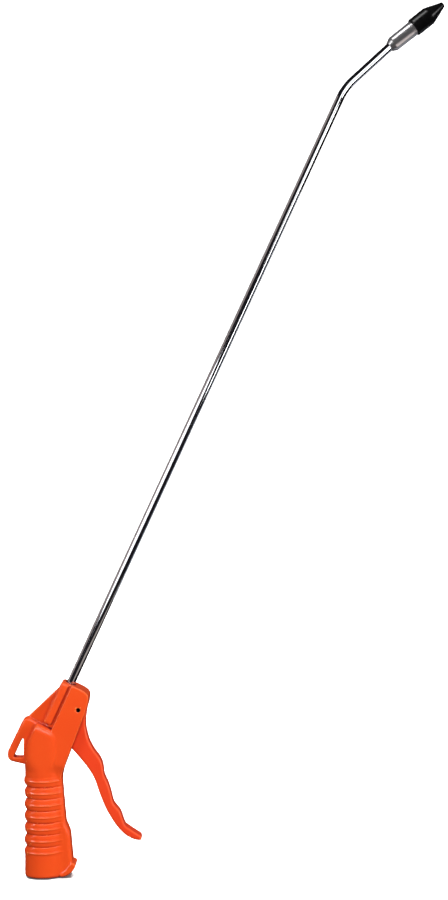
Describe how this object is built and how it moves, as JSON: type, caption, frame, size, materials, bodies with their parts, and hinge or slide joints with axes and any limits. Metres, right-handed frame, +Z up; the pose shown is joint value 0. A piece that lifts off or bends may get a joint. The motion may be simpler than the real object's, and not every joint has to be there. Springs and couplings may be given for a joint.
{
  "type": "air blow gun",
  "caption": "Compressed-air blow gun with a ribbed pistol grip, hanging hook, finger lever, long bent extension tube and conical rubber tip.",
  "frame": {"origin": "centre of the air inlet in the base of the grip", "axes": "+Z up the grip, +X toward the lever and the tip, +Y across the grip"},
  "size_m": [0.3352, 0.0262, 0.6699],
  "materials": {
    "grip": "satin moulded",
    "inlet": "turned",
    "inlet_seal": "matt",
    "valve_body": "turned",
    "valve_body_seal": "matt",
    "stem_seal": "matt",
    "stem": "ground",
    "poppet": "turned",
    "poppet_face": "matt",
    "spring": "drawn wire",
    "lever": "satin moulded",
    "pin": "rolled",
    "ferrule": "turned",
    "tube_seal": "matt",
    "tube": "polished",
    "sleeve": "polished",
    "nipple": "turned",
    "tip": "glossy"
  },
  "bodies": {
    "housing": {"grip_housing": "grip", "inlet_bushing": "inlet", "inlet_o_ring": "inlet_seal", "valve_cartridge": "valve_body", "cartridge_o_ring": "valve_body_seal", "stem_o_ring": "stem_seal", "valve_spring": "spring", "pivot_pin": "pin", "tube_ferrule": "ferrule", "tube_o_ring": "tube_seal", "extension_tube": "tube", "tip_sleeve": "sleeve", "tip_nipple": "nipple", "rubber_tip": "tip"},
    "lever": {"lever": "lever"},
    "valve_stem": {"valve_stem": "stem", "valve_poppet": "poppet", "poppet_seal": "poppet_face"}
  },
  "joints": [
    {"name": "lever_pivot", "type": "hinge", "parent": "housing", "child": "lever", "pos_m": [0.02496, 0, 0.1282], "axis": [0, 1, 0], "range_deg": [0, 7], "stiffness_Nm_per_rad": 0.3, "springref_deg": -8.59},
    {"name": "stem_slide", "type": "slide", "parent": "housing", "child": "valve_stem", "axis": [-0.9085, 0, 0.418], "range_m": [0, 0.0036], "deforming": ["valve_spring"]}
  ],
  "couplings": [
    {"joint": "stem_slide", "follows": "lever_pivot", "m_per_rad": 0.028442}
  ]
}
